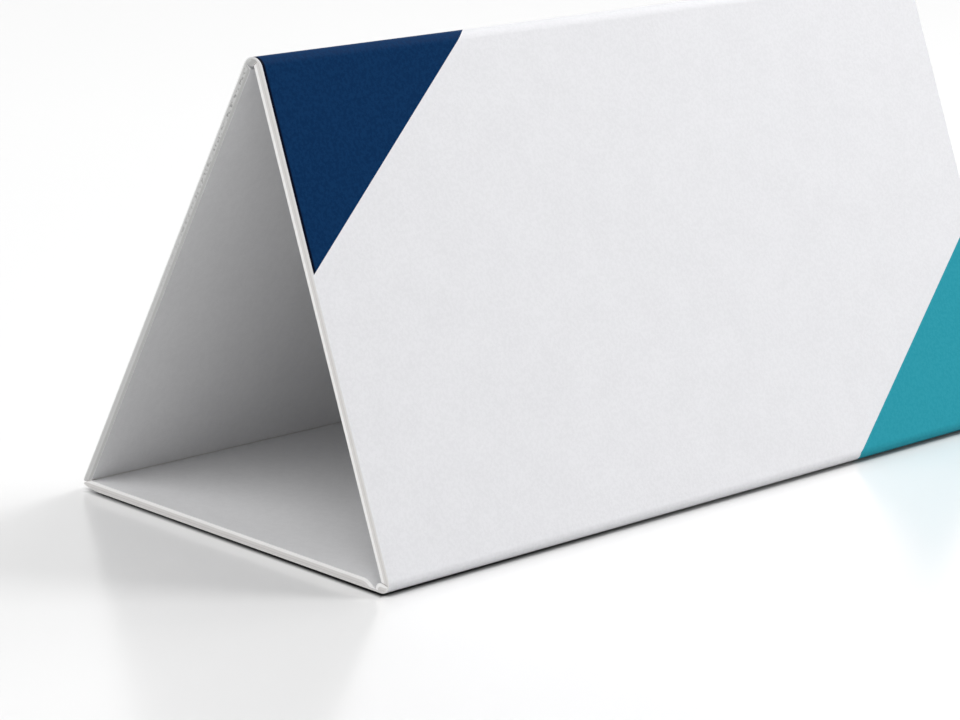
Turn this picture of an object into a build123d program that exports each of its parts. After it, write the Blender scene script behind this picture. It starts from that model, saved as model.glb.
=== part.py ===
from build123d import *
import math
import os

# Tent card: one stiff white board, creased and folded at the ridge and along the front of the base,
# and closed by a glued seam along the back of the base, so that it stands as a three-sided tube.
# Millimetres and degrees. X runs along the ridge, the printed panel faces -Y and +Z is up.

# Card: the panels are measured on the outside, between the sharp corners
card_length = 210.0
panel_slant = 110.0
base_width = 88.5
board_thickness = 2.0

# Creased folds: the front panel's end is scored, and the panel that it meets has a pressed groove
skin_thickness = 0.4  # outer plies that run round the folds uncut
slit_width = 0.15  # score between the front panel's end and the bead, and the groove's bottom
ridge_radius = 2.6  # outside of the ridge
ridge_slit_tilt = 20.0  # turn of the score from the grooved panel's inner face, up into the front panel
ridge_bead_rise = 0.3  # how far the bead stands proud of the back panel's inner face
ridge_bead_width = 0.8
ridge_hinge = 0.7  # board left under the groove
ridge_shoulder_run = 0.5  # from the groove's bottom back up to the inner face
front_radius = 2.05
front_slit_tilt = -10.0
front_bead_rise = 0.0
front_bead_width = 1.5
front_hinge = 0.55
front_shoulder_run = 3.3

# Glued seam: the back panel's foot stands on the base's end
seam_gap = 0.15
foot_radius = 0.35  # outer edge of the back panel's foot
base_setback = 0.95  # from the sharp corner to the base's cut end
tip_bottom = 0.72  # heights of the cut end's two edges over the floor
tip_top = 1.15
nose_run = 4.45  # how far in from its end the base begins to lift off the floor
glue_outer_inset = 0.5  # glue line, kept back from the outside of the seam
glue_inner_inset = 0.1  # from its inside
glue_end_inset = 0.25  # and from both ends of the card


class Corner:
    """A corner of the section, measured along one panel and in from that panel's outer face."""

    def __init__(self, point, panel_end, other_end, rise=0.0):
        """Takes the sharp corner, the far ends of the measured panel and of the other, and a bead's rise."""
        self.point = point
        self.along = (panel_end - point).normalized()
        self.other = (other_end - point).normalized()
        self.inward = (self.other - self.along * self.other.dot(self.along)).normalized()
        self.angle = math.radians(self.along.get_angle(self.other))
        self.inner_depth = board_thickness + rise
        self.inner_reach = board_thickness / math.sin(self.angle) + self.inner_depth / math.tan(self.angle)
        self.inner = self.at(self.inner_reach, self.inner_depth)

    def at(self, reach, depth):
        """The point that lies reach along the panel from the corner and depth in from its outer face."""
        return self.point + self.along * reach + self.inward * depth


def filled(*points):
    """A flat face with straight sides between the points."""
    return make_face(Polyline(*points, close=True))


def score_slit(corner, tilt):
    """The slit between the end of the other panel and the bead, from the inner corner to past the skin."""
    turn = math.radians(tilt)
    outward = corner.inward * math.sin(turn) - corner.along * math.cos(turn)
    across = (corner.inward * math.cos(turn) + corner.along * math.sin(turn)) * slit_width
    mouth = corner.other * (slit_width / math.sin(corner.angle + turn))
    slit_end = corner.inner + outward * corner.inner_reach
    return filled(corner.inner, corner.inner + mouth, slit_end + across, slit_end)


def bead_side(corner, width, hinge):
    """The rounded side of the bead, from the score's mouth down to the groove's bottom."""
    reach = corner.inner_reach + width
    return Bezier(corner.inner, corner.at(reach, corner.inner_depth), corner.at(reach, hinge))


def crease_bead(corner, width, hinge):
    """The bead along the crease, from inside the front panel to its rounded side."""
    side = bead_side(corner, width, hinge)
    root = corner.inner_reach - board_thickness / 2
    rest = Polyline(side @ 1, corner.at(root, hinge), corner.at(root, corner.inner_depth), corner.inner)
    return make_face([side, rest])


def pressed_groove(corner, width, hinge, shoulder_run):
    """The groove beside the bead, which rises to the panel's inner face over a rounded shoulder."""
    side = bead_side(corner, width, hinge)
    start = corner.inner_reach + width + slit_width
    bottom = Line(side @ 1, corner.at(start, hinge))
    top = corner.at(start + shoulder_run, board_thickness)
    shoulder = Bezier(bottom @ 1, corner.at(start + shoulder_run / 2, board_thickness), top)
    above = corner.at(start, corner.inner_depth + slit_width)
    return make_face([side, bottom, shoulder, Polyline(top, above, corner.inner)])


def seam_strip(corner, tip, start, end):
    """The stretch of the seam's gap from start to end, measured from the base's tip towards the inside."""
    along = (corner.inner - tip).normalized()
    across = (corner.inward - along * corner.inward.dot(along)).normalized() * seam_gap
    low = tip + along * start
    high = tip + along * end
    return filled(low, high, high + across, low + across)


def nose_cut(corner, tip):
    """What the sharp corner loses so that the base ends in a tip that lifts gently off the floor."""
    seam_slope = (board_thickness - tip_top) / (corner.inner_reach - base_setback)
    nose_start = corner.at(base_setback + nose_run, 0)
    tip_foot = corner.at(base_setback, tip_bottom)
    seam_mouth = corner.at(0, tip_top - base_setback * seam_slope)
    underside = TangentArc(nose_start, tip_foot, tangent=corner.along * -1)
    return make_face([underside, Polyline(tip_foot, tip, seam_mouth, corner.point, nose_start)])


# Sharp corners of the section, seen along the ridge
half_base = base_width / 2
ridge = Vector(0, math.sqrt(panel_slant**2 - half_base**2))
front = Vector(-half_base, 0)
back = Vector(half_base, 0)
ridge_fold = Corner(ridge, back, front, ridge_bead_rise)
front_fold = Corner(front, back, ridge, front_bead_rise)
back_seam = Corner(back, front, ridge)

# Outside of the board, rounded at the two folds, and the hollow inside it with the creases
sharp_outside = filled(ridge, front, back)
outside = fillet(sharp_outside.vertices().sort_by_distance(ridge)[0], ridge_radius)
outside = fillet(outside.vertices().sort_by_distance(front)[0], front_radius)
core = offset(outside, -skin_thickness, kind=Kind.INTERSECTION)
hollow = offset(sharp_outside, -board_thickness, kind=Kind.INTERSECTION)
hollow -= crease_bead(ridge_fold, ridge_bead_width, ridge_hinge)
for fold, tilt in ((ridge_fold, ridge_slit_tilt), (front_fold, front_slit_tilt)):
    hollow += score_slit(fold, tilt) & core
hollow += pressed_groove(ridge_fold, ridge_bead_width, ridge_hinge, ridge_shoulder_run) & core
hollow += pressed_groove(front_fold, front_bead_width, front_hinge, front_shoulder_run) & core

# Seam at the back of the base, with its glue line
tip = back_seam.at(base_setback, tip_top)
seam_depth = (back_seam.inner - tip).length
open_seam = seam_strip(back_seam, tip, -base_setback - board_thickness, seam_depth + board_thickness)
glue_line = seam_strip(back_seam, tip, glue_outer_inset, seam_depth - glue_inner_inset)
section = outside - hollow - open_seam - nose_cut(back_seam, tip)
foot_edge = back_seam.point + back_seam.other * (tip_top / math.sin(back_seam.angle))
section = fillet(section.vertices().sort_by_distance(foot_edge)[0], foot_radius)

# The origin lies on the floor under the middle of the card
extent = section.bounding_box()
centring = Pos(-extent.center().X, -extent.min.Y)
board = extrude(Plane.YZ * centring * section, card_length / 2, both=True)
glue = extrude(Plane.YZ * centring * glue_line, card_length / 2 - glue_end_inset, both=True)
folded_board = board + glue
folded_board.label = "folded_board"

os.makedirs("parts", exist_ok=True)
export_step(folded_board, "parts/folded_board.step")
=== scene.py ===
"""A free-standing tent card: one stiff white board, creased, folded and glued to a three-sided tube.

The classes hold millimetres, as on a maker's drawing. Meshes are in metres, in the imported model's frame:
X runs along the ridge, the printed panel faces -Y and +Z is up.
"""

from __future__ import annotations

import logging
import math
from dataclasses import dataclass, field
from enum import Enum
from typing import Optional, Union

import bmesh
import bpy
from mathutils import Matrix, Vector


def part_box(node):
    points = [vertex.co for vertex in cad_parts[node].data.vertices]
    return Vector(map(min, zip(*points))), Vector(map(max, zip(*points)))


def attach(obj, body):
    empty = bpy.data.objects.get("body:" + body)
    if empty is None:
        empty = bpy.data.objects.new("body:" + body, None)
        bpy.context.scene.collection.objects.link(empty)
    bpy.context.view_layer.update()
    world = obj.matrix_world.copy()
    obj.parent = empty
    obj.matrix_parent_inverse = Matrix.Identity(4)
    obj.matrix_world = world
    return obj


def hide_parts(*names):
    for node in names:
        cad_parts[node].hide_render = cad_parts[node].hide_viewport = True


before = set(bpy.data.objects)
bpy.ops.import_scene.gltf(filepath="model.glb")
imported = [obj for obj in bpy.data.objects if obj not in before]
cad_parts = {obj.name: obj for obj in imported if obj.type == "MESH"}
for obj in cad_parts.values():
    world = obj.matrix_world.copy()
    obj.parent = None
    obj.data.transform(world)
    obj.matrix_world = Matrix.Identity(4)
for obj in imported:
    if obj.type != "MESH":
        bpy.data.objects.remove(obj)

MM = 0.001  # metres in a millimetre
FULL_STEP = 255  # the brightest step of a colour as it is seen
NOISE_MIDDLE = 0.5  # middle strength of the soft uneven spots
BOARD_NODE = "folded_board"
BOARD_BODY = "root"

Colour = tuple[float, float, float, float]
Operand = Union["Value", float]
Ring = list[bmesh.types.BMVert]

log = logging.getLogger("tent_card")


def paint(red: int, green: int, blue: int) -> Colour:
    """Turns a colour as it is seen, in steps of 0 to 255, into the light that it sends back.

    Args:
        red: Red step.
        green: Green step.
        blue: Blue step.

    Returns:
        The linear colour, with full cover.
    """
    toe, slope, lift, power = 0.04045, 12.92, 0.055, 2.4  # the standard curve of a screen
    shares = [step / FULL_STEP for step in (red, green, blue)]
    linear = [s / slope if s <= toe else ((s + lift) / (1 + lift)) ** power for s in shares]
    return (linear[0], linear[1], linear[2], 1.0)


class Surface(Enum):
    """What a stretch of the section's outline is on the board."""

    FRONT = 0  # the printed side, with both folds
    OUTSIDE = 1
    INSIDE = 2
    CUT = 3  # scored or trimmed through the board


class Dress(Enum):
    """The finishes of the board, in the order of its material slots."""

    WHITE_FACE = 0
    NAVY_PRINT = 1
    TEAL_PRINT = 2
    INNER_FACE = 3
    CUT_EDGE = 4
    # painted shade: the back panel's trimmed ends are greyer, with dark flecks
    PAINTED_SHADE_FLECKED_EDGE = 5  # the back panel's trimmed ends


class Mark(Enum):
    """Points of the outline that the cut ends are built from."""

    FOOT = "where the outer face leaves the back panel's foot"
    TIP = "where the underside meets the base's cut end"
    RIDGE_BEAD_SKIN = "outer skin over the bead's side of the ridge slit"
    RIDGE_PANEL_SKIN = "outer skin over the front panel's side of the ridge slit"
    FRONT_PANEL_SKIN = "outer skin over the front panel's side of the front slit"
    FRONT_BEAD_SKIN = "outer skin over the bead's side of the front slit"
    RIDGE_BEAD_SLIT = "end of the ridge slit on the bead's side"
    RIDGE_PANEL_SLIT = "end of the ridge slit on the front panel's side"
    FRONT_PANEL_SLIT = "end of the front slit on the front panel's side"
    FRONT_BEAD_SLIT = "end of the front slit on the bead's side"
    RIDGE_CREASE_SKIN = "outer face under the top of the ridge groove's shoulder"
    RIDGE_CREASE_TOP = "top of the ridge groove's shoulder"
    FRONT_CREASE_SKIN = "outer face under the top of the front groove's shoulder"
    FRONT_CREASE_TOP = "top of the front groove's shoulder"
    GLUE_LOW = "start of the glue line on the base"
    GLUE_HIGH = "end of the glue line on the back panel's foot"


@dataclass(frozen=True)
class Corner:
    """A sharp corner of the section, measured along one panel and in from that panel's outer face.

    Attributes:
        point: The sharp corner.
        panel_end: Far end of the measured panel.
        other_end: Far end of the panel that it meets.
        board: Thickness of the board.
    """

    point: Vector
    panel_end: Vector
    other_end: Vector
    board: float

    @property
    def along(self) -> Vector:
        """Direction along the measured panel."""
        return (self.panel_end - self.point).normalized()

    @property
    def other(self) -> Vector:
        """Direction along the other panel."""
        return (self.other_end - self.point).normalized()

    @property
    def inward(self) -> Vector:
        """Direction from the measured panel's outer face into the tube."""
        return (self.other - self.along * self.other.dot(self.along)).normalized()

    @property
    def angle(self) -> float:
        """Angle between the two panels."""
        return math.acos(self.along.dot(self.other))

    @property
    def inner(self) -> Vector:
        """The corner between the two inner faces."""
        return self.at(self.reach(self.board), self.board)

    def reach(self, depth: float) -> float:
        """How far along the panel both outer faces are depth away."""
        return depth / math.tan(self.angle / 2)

    def at(self, reach: float, depth: float) -> Vector:
        """The point reach along the measured panel and depth in from its outer face."""
        return self.point + self.along * reach + self.inward * depth

    def depth(self, place: Vector) -> float:
        """How deep a point lies under the measured panel's outer face."""
        return (place - self.point).dot(self.inward)


@dataclass
class Outline:
    """A closed line round the board's section, counter-clockwise as seen against X.

    Attributes:
        chord_error: How far a chord may lie off its arc.
        points: The line's points.
        surfaces: For each point, the surface that the stretch after it belongs to.
        marks: Places of the marked points in the list.
    """

    chord_error: float
    points: list[Vector] = field(default_factory=list)
    surfaces: list[Surface] = field(default_factory=list)
    marks: dict[Mark, int] = field(default_factory=dict)

    def mark(self, name: Mark) -> None:
        """Gives the next point a name."""
        self.marks[name] = len(self.points)

    def straight(self, surface: Surface, *stops: Vector) -> None:
        """Adds straight stretches between the stops; the next stretch adds the last stop.

        Args:
            surface: What the stretches are on the board.
            stops: Points that they run through.
        """
        for stop in stops[:-1]:
            self.points.append(stop)
            self.surfaces.append(surface)

    def arc(self, surface: Surface, centre: Vector, start: Vector, end: Vector) -> None:
        """Adds an arc of less than half a turn; the next stretch adds its end.

        Args:
            surface: What the arc is on the board.
            centre: Centre of the arc.
            start: First point of the arc.
            end: Last point of the arc.
        """
        first, last = start - centre, end - centre
        turn = math.atan2(first.x * last.y - first.y * last.x, first.dot(last))
        step = 2 * math.acos(1 - self.chord_error / first.length)
        count = max(1, math.ceil(abs(turn) / step))
        spokes = [Matrix.Rotation(turn * i / count, 2) @ first for i in range(count + 1)]
        self.straight(surface, *[centre + spoke for spoke in spokes])

    def bend(self, surface: Surface, start: Vector, corner: Vector, end: Vector) -> None:
        """Adds a soft bend, which leaves start and reaches end along the sides of a corner.

        Args:
            surface: What the bend is on the board.
            start: First point of the bend.
            corner: The corner that is bent round.
            end: Last point of the bend; the next stretch adds it.
        """
        count = math.ceil(math.sqrt((start - corner * 2 + end).length / (4 * self.chord_error)))
        shares = [i / count for i in range(count + 1)]
        stops = [start * (1 - t) ** 2 + corner * (2 * t * (1 - t)) + end * t**2 for t in shares]
        self.straight(surface, *stops)

    def centre_on_floor(self) -> Vector:
        """Moves the line so that it stands on the floor with the origin under its middle.

        Returns:
            How far the line was moved.
        """
        across = [point.x for point in self.points]
        shift = Vector((-(min(across) + max(across)) / 2, -min(point.y for point in self.points)))
        self.points = [point + shift for point in self.points]
        return shift

    def inset(self, distance: float) -> list[Vector]:
        """The line's points moved into the board by the same distance from both of their stretches.

        Args:
            distance: How far the line moves.

        Returns:
            The moved points, in the same order.
        """
        count = len(self.points)
        moved = []
        for i, point in enumerate(self.points):
            before = (point - self.points[i - 1]).normalized()
            after = (self.points[(i + 1) % count] - point).normalized()
            normal = Vector((-before.y - after.y, before.x + after.x))
            moved.append(point + normal * (distance / (1 + before.dot(after))))
        return moved


@dataclass(frozen=True)
class Crease:
    """Sizes of a creased fold.

    Attributes:
        radius: Outside of the fold.
        slit_tilt: Turn of the slit from the grooved panel's inner face, up into the front panel, in degrees.
        bead_rise: How far the bead stands proud of the grooved panel's inner face.
        bead_width: Width of the bead along that panel.
        hinge: Board left under the groove.
        shoulder_run: From the groove's bottom back up to the inner face.
    """

    radius: float
    slit_tilt: float
    bead_rise: float
    bead_width: float
    hinge: float
    shoulder_run: float


@dataclass(frozen=True)
class Fold:
    """A creased fold: an outer skin round a bead, which a slit parts from the front panel's end.

    Attributes:
        corner: The fold's sharp corner, measured along the grooved panel.
        crease: Sizes of the fold.
        skin: Outer plies that run round the fold uncut.
        slit: Width of the slit, and of the groove's bottom.
    """

    corner: Corner
    crease: Crease
    skin: float
    slit: float

    @property
    def centre(self) -> Vector:
        """Centre of the fold's rounding."""
        return self.corner.at(self.corner.reach(self.crease.radius), self.crease.radius)

    @property
    def grooved_tangent(self) -> Vector:
        """Where the rounding meets the grooved panel's outer face."""
        return self.corner.at(self.corner.reach(self.crease.radius), 0)

    @property
    def front_tangent(self) -> Vector:
        """Where the rounding meets the front panel's outer face."""
        return self.corner.point + self.corner.other * self.corner.reach(self.crease.radius)

    @property
    def inner_depth(self) -> float:
        """Depth of the bead's top under the grooved panel's outer face."""
        return self.corner.board + self.crease.bead_rise

    @property
    def inner_reach(self) -> float:
        """How far along the grooved panel the bead's top meets the front panel's inner face."""
        angle = self.corner.angle
        return self.corner.board / math.sin(angle) + self.inner_depth / math.tan(angle)

    @property
    def inner(self) -> Vector:
        """Where the bead's top meets the front panel's inner face."""
        return self.corner.at(self.inner_reach, self.inner_depth)

    @property
    def mouth(self) -> Vector:
        """Where the slit's far side leaves the front panel's inner face."""
        widening = math.sin(self.corner.angle + math.radians(self.crease.slit_tilt))
        return self.inner + self.corner.other * (self.slit / widening)

    @property
    def bead_side(self) -> tuple[Vector, Vector, Vector]:
        """The bead's rounded side, from the groove's bottom to the slit, with the corner it bends round."""
        reach = self.inner_reach + self.crease.bead_width
        return self.corner.at(reach, self.crease.hinge), self.corner.at(reach, self.inner_depth), self.inner

    @property
    def shoulder(self) -> tuple[Vector, Vector, Vector]:
        """The groove's shoulder, from the inner face to its bottom, with the corner it bends round."""
        bottom = self.inner_reach + self.crease.bead_width + self.slit
        run, board = self.crease.shoulder_run, self.corner.board
        top = self.corner.at(bottom + run, board)
        return top, self.corner.at(bottom + run / 2, board), self.corner.at(bottom, self.crease.hinge)

    @property
    def crease_end(self) -> Vector:
        """The point of the grooved panel's outer face under the top of the shoulder."""
        top = self.shoulder[0]
        return top - self.corner.inward * self.corner.board

    def slit_end(self, start: Vector) -> Vector:
        """Where a side of the slit meets the uncut skin.

        Args:
            start: Where that side begins, at the inner faces.

        Returns:
            The point on the skin's inner side.
        """
        turn = math.radians(self.crease.slit_tilt)
        outward = self.corner.inward * math.sin(turn) - self.corner.along * math.cos(turn)
        arm = start - self.centre
        skin_radius = self.crease.radius - self.skin
        half = arm.dot(outward)
        run = math.sqrt(half**2 - arm.length_squared + skin_radius**2) - half
        return start + outward * run

    def over(self, place: Vector) -> Vector:
        """The point of the fold's outside that lies over an inner point."""
        return self.centre + (place - self.centre).normalized() * self.crease.radius


@dataclass(frozen=True)
class Seam:
    """The glued seam: the back panel's foot stands on the base's end.

    Attributes:
        corner: The seam's sharp corner, measured along the base.
        gap: Width of the seam.
        foot_radius: Rounding of the foot's outer edge.
        setback: From the sharp corner to the base's cut end.
        tip_bottom: Height of the cut end's lower edge.
        tip_top: Height of the cut end's upper edge.
        nose_run: How far in from its end the base begins to lift off the floor.
        glue_outer_inset: How far the glue line stays back from the outside of the seam.
        glue_inner_inset: How far it stays back from the inside.
    """

    corner: Corner
    gap: float = 0.15
    foot_radius: float = 0.35
    setback: float = 0.95
    tip_bottom: float = 0.72
    tip_top: float = 1.15
    nose_run: float = 4.45
    glue_outer_inset: float = 0.5
    glue_inner_inset: float = 0.1

    @property
    def tip(self) -> Vector:
        """Upper edge of the base's cut end."""
        return self.corner.at(self.setback, self.tip_top)

    @property
    def tip_foot(self) -> Vector:
        """Lower edge of the base's cut end."""
        return self.corner.at(self.setback, self.tip_bottom)

    @property
    def nose_start(self) -> Vector:
        """Where the base leaves the floor."""
        return self.corner.at(self.setback + self.nose_run, 0)

    @property
    def nose_centre(self) -> Vector:
        """Centre of the arc by which the base lifts off the floor."""
        radius = (self.nose_run**2 + self.tip_bottom**2) / (2 * self.tip_bottom)
        return self.corner.at(self.setback + self.nose_run, radius)

    @property
    def along(self) -> Vector:
        """Direction of the seam, from the base's tip to the inside."""
        return (self.corner.inner - self.tip).normalized()

    @property
    def across(self) -> Vector:
        """Direction from the base up to the back panel's foot."""
        inward = self.corner.inward
        return (inward - self.along * inward.dot(self.along)).normalized()

    @property
    def glue_ends(self) -> tuple[Vector, Vector]:
        """Both edges of the glue line on the base, the outer one first."""
        outer = self.tip + self.along * self.glue_outer_inset
        return outer, self.corner.inner - self.along * self.glue_inner_inset

    @property
    def foot_inner(self) -> Vector:
        """Inner edge of the back panel's foot."""
        return self.corner.inner + self.corner.other * (self.gap / self.corner.other.dot(self.across))

    @property
    def foot_arc(self) -> tuple[Vector, Vector, Vector]:
        """Centre, lower end and upper end of the rounding at the foot's outer edge."""
        side = self.corner.other
        rise = (self.gap - (self.corner.point - self.tip).dot(self.across)) / side.dot(self.across)
        edge = self.corner.point + side * rise
        half = math.acos(self.along.dot(side)) / 2
        run = self.foot_radius / math.tan(half)
        centre = edge + (self.along + side).normalized() * (self.foot_radius / math.sin(half))
        return centre, edge + self.along * run, edge + side * run


@dataclass(frozen=True)
class BoardSection:
    """The section across the ridge: three panels, two creased folds and a glued seam.

    Attributes:
        panel_slant: Front and back panel, on the outside between the sharp corners.
        base_width: Base panel, measured in the same way.
        board: Thickness of the board.
        skin: Outer plies that run round the folds uncut.
        slit: Width of the scored slits.
        ridge_crease: Fold at the top, with its groove in the back panel.
        front_crease: Fold at the front of the base, with its groove in the base.
        chord_error: How far a chord may lie off its arc.
    """

    panel_slant: float = 110.0
    base_width: float = 88.5
    board: float = 2.0
    skin: float = 0.4
    slit: float = 0.15
    ridge_crease: Crease = Crease(
        radius=2.6, slit_tilt=20.0, bead_rise=0.3, bead_width=0.8, hinge=0.7, shoulder_run=0.5
    )
    front_crease: Crease = Crease(
        radius=2.05, slit_tilt=-10.0, bead_rise=0.0, bead_width=1.5, hinge=0.55, shoulder_run=3.3
    )
    chord_error: float = 0.006

    @property
    def ridge(self) -> Vector:
        """Sharp corner at the top."""
        return Vector((0, math.sqrt(self.panel_slant**2 - (self.base_width / 2) ** 2)))

    @property
    def front(self) -> Vector:
        """Sharp corner at the front of the base."""
        return Vector((-self.base_width / 2, 0))

    @property
    def back(self) -> Vector:
        """Sharp corner at the back of the base."""
        return Vector((self.base_width / 2, 0))

    @property
    def ridge_corner(self) -> Corner:
        """The ridge, measured along the back panel."""
        return Corner(self.ridge, self.back, self.front, self.board)

    @property
    def front_corner(self) -> Corner:
        """The front of the base, measured along the base."""
        return Corner(self.front, self.back, self.ridge, self.board)

    @property
    def front_panel(self) -> Corner:
        """The ridge, measured along the front panel."""
        return Corner(self.ridge, self.front, self.back, self.board)

    @property
    def back_corner(self) -> Corner:
        """The back of the base, measured along the base."""
        return Corner(self.back, self.front, self.ridge, self.board)

    def ridge_fold(self) -> Fold:
        """The creased fold at the top."""
        return Fold(self.ridge_corner, self.ridge_crease, self.skin, self.slit)

    def front_fold(self) -> Fold:
        """The creased fold at the front of the base."""
        return Fold(self.front_corner, self.front_crease, self.skin, self.slit)

    def seam(self) -> Seam:
        """The glued seam at the back of the base."""
        return Seam(self.back_corner)

    def outline(self) -> Outline:
        """The whole outline, from the back panel's foot over the ridge, round the base and back inside.

        Returns:
            The outline between the sharp corners' own axes, not yet centred.
        """
        line = Outline(self.chord_error)
        ridge = self.ridge_fold()
        front = self.front_fold()
        seam = self.seam()
        self._add_outside(line, ridge, front, seam)
        self._add_base_inside(line, front, seam)
        self._add_back_inside(line, ridge, front.mouth, seam)
        return line

    def _add_outside(self, line: Outline, ridge: Fold, front: Fold, seam: Seam) -> None:
        """Adds the outer faces, from the back panel's foot to the base's tip.

        Args:
            line: The outline that grows.
            ridge: The fold at the top.
            front: The fold at the front of the base.
            seam: The glued seam.
        """
        ridge_bead = ridge.over(ridge.slit_end(ridge.inner))
        ridge_panel = ridge.over(ridge.slit_end(ridge.mouth))
        front_panel = front.over(front.slit_end(front.mouth))
        front_bead = front.over(front.slit_end(front.inner))
        line.mark(Mark.FOOT)
        line.straight(Surface.OUTSIDE, seam.foot_arc[2], ridge.crease_end)
        line.mark(Mark.RIDGE_CREASE_SKIN)
        line.straight(Surface.OUTSIDE, ridge.crease_end, ridge.grooved_tangent)
        line.arc(Surface.FRONT, ridge.centre, ridge.grooved_tangent, ridge_bead)
        line.mark(Mark.RIDGE_BEAD_SKIN)
        line.arc(Surface.FRONT, ridge.centre, ridge_bead, ridge_panel)
        line.mark(Mark.RIDGE_PANEL_SKIN)
        line.arc(Surface.FRONT, ridge.centre, ridge_panel, ridge.front_tangent)
        line.straight(Surface.FRONT, ridge.front_tangent, front.front_tangent)
        line.arc(Surface.FRONT, front.centre, front.front_tangent, front_panel)
        line.mark(Mark.FRONT_PANEL_SKIN)
        line.arc(Surface.FRONT, front.centre, front_panel, front_bead)
        line.mark(Mark.FRONT_BEAD_SKIN)
        line.arc(Surface.FRONT, front.centre, front_bead, front.grooved_tangent)
        line.straight(Surface.OUTSIDE, front.grooved_tangent, front.crease_end)
        line.mark(Mark.FRONT_CREASE_SKIN)
        line.straight(Surface.OUTSIDE, front.crease_end, seam.nose_start)
        line.arc(Surface.OUTSIDE, seam.nose_centre, seam.nose_start, seam.tip_foot)

    def _add_base_inside(self, line: Outline, front: Fold, seam: Seam) -> None:
        """Adds the base's cut end and inner face, and the front slit up to the front panel.

        Args:
            line: The outline that grows.
            front: The fold at the front of the base.
            seam: The glued seam.
        """
        glue_start, glue_end = seam.glue_ends
        line.mark(Mark.TIP)
        line.straight(Surface.CUT, seam.tip_foot, seam.tip, glue_start)
        line.mark(Mark.GLUE_LOW)
        line.straight(Surface.CUT, glue_start, glue_end, seam.corner.inner)
        line.straight(Surface.INSIDE, seam.corner.inner, front.shoulder[0])
        line.mark(Mark.FRONT_CREASE_TOP)
        line.bend(Surface.INSIDE, *front.shoulder)
        line.straight(Surface.INSIDE, front.shoulder[2], front.bead_side[0])
        line.bend(Surface.INSIDE, *front.bead_side)
        bead_end = front.slit_end(front.inner)
        panel_end = front.slit_end(front.mouth)
        line.straight(Surface.CUT, front.inner, bead_end)
        line.mark(Mark.FRONT_BEAD_SLIT)
        line.straight(Surface.CUT, bead_end, panel_end)
        line.mark(Mark.FRONT_PANEL_SLIT)
        line.straight(Surface.CUT, panel_end, front.mouth)

    def _add_back_inside(self, line: Outline, ridge: Fold, front_mouth: Vector, seam: Seam) -> None:
        """Adds the front panel's inner face, the ridge slit, and the back panel down to its foot.

        Args:
            line: The outline that grows.
            ridge: The fold at the top.
            front_mouth: Where the front panel's inner face begins, at the front slit.
            seam: The glued seam.
        """
        panel_end = ridge.slit_end(ridge.mouth)
        bead_end = ridge.slit_end(ridge.inner)
        line.straight(Surface.INSIDE, front_mouth, ridge.mouth)
        line.straight(Surface.CUT, ridge.mouth, panel_end)
        line.mark(Mark.RIDGE_PANEL_SLIT)
        line.straight(Surface.CUT, panel_end, bead_end)
        line.mark(Mark.RIDGE_BEAD_SLIT)
        line.straight(Surface.CUT, bead_end, ridge.inner)
        line.bend(Surface.INSIDE, *reversed(ridge.bead_side))
        line.straight(Surface.INSIDE, ridge.bead_side[0], ridge.shoulder[2])
        line.bend(Surface.INSIDE, *reversed(ridge.shoulder))
        line.mark(Mark.RIDGE_CREASE_TOP)
        line.straight(Surface.INSIDE, ridge.shoulder[0], seam.foot_inner)
        glue_start, glue_end = [place + seam.across * seam.gap for place in seam.glue_ends]
        arc_centre, arc_low, arc_high = seam.foot_arc
        line.straight(Surface.CUT, seam.foot_inner, glue_end)
        line.mark(Mark.GLUE_HIGH)
        line.straight(Surface.CUT, glue_end, glue_start, arc_low)
        line.arc(Surface.CUT, arc_centre, arc_low, arc_high)


class CardEnd(Enum):
    """The two open ends of the card, as signs along X."""

    NEAR = -1
    FAR = 1


@dataclass(frozen=True)
class PrintField:
    """A corner of the front panel that is printed in one colour, as a right triangle.

    Attributes:
        dress: The finish of the field.
        end: The end of the card that one leg lies on.
        fold_slant: Where the other leg lies, measured down the sheet from the sharp ridge.
        end_slant: Where the slanting side meets the card's end, measured in the same way.
        fold_leg: Length of the leg along the fold.
    """

    dress: Dress
    end: CardEnd
    fold_slant: float
    end_slant: float
    fold_leg: float

    def reach(self, slant: float) -> float:
        """How far the field reaches along the card from its end.

        Args:
            slant: Distance down the sheet from the sharp ridge.

        Returns:
            The distance to the slanting side, under 0 where there is no field.
        """
        return self.fold_leg * (self.end_slant - slant) / (self.end_slant - self.fold_slant)


class Value:
    """An output socket with arithmetic: an expression adds the Math nodes that work it out."""

    def __init__(self, sheet: NodeSheet, socket: bpy.types.NodeSocket) -> None:
        """Takes the sheet that the socket's node lies on, and the socket."""
        self.sheet = sheet
        self.socket = socket

    def __add__(self, other: Operand) -> Value:
        """Adds."""
        return self.sheet.math("ADD", self, other)

    def __radd__(self, other: Operand) -> Value:
        """Adds to a number."""
        return self.sheet.math("ADD", other, self)

    def __sub__(self, other: Operand) -> Value:
        """Subtracts."""
        return self.sheet.math("SUBTRACT", self, other)

    def __rsub__(self, other: Operand) -> Value:
        """Subtracts from a number."""
        return self.sheet.math("SUBTRACT", other, self)

    def __mul__(self, other: Operand) -> Value:
        """Multiplies."""
        return self.sheet.math("MULTIPLY", self, other)

    def __rmul__(self, other: Operand) -> Value:
        """Multiplies a number."""
        return self.sheet.math("MULTIPLY", other, self)

    def __abs__(self) -> Value:
        """Drops the sign."""
        return self.sheet.math("ABSOLUTE", self, 0.0)


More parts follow.
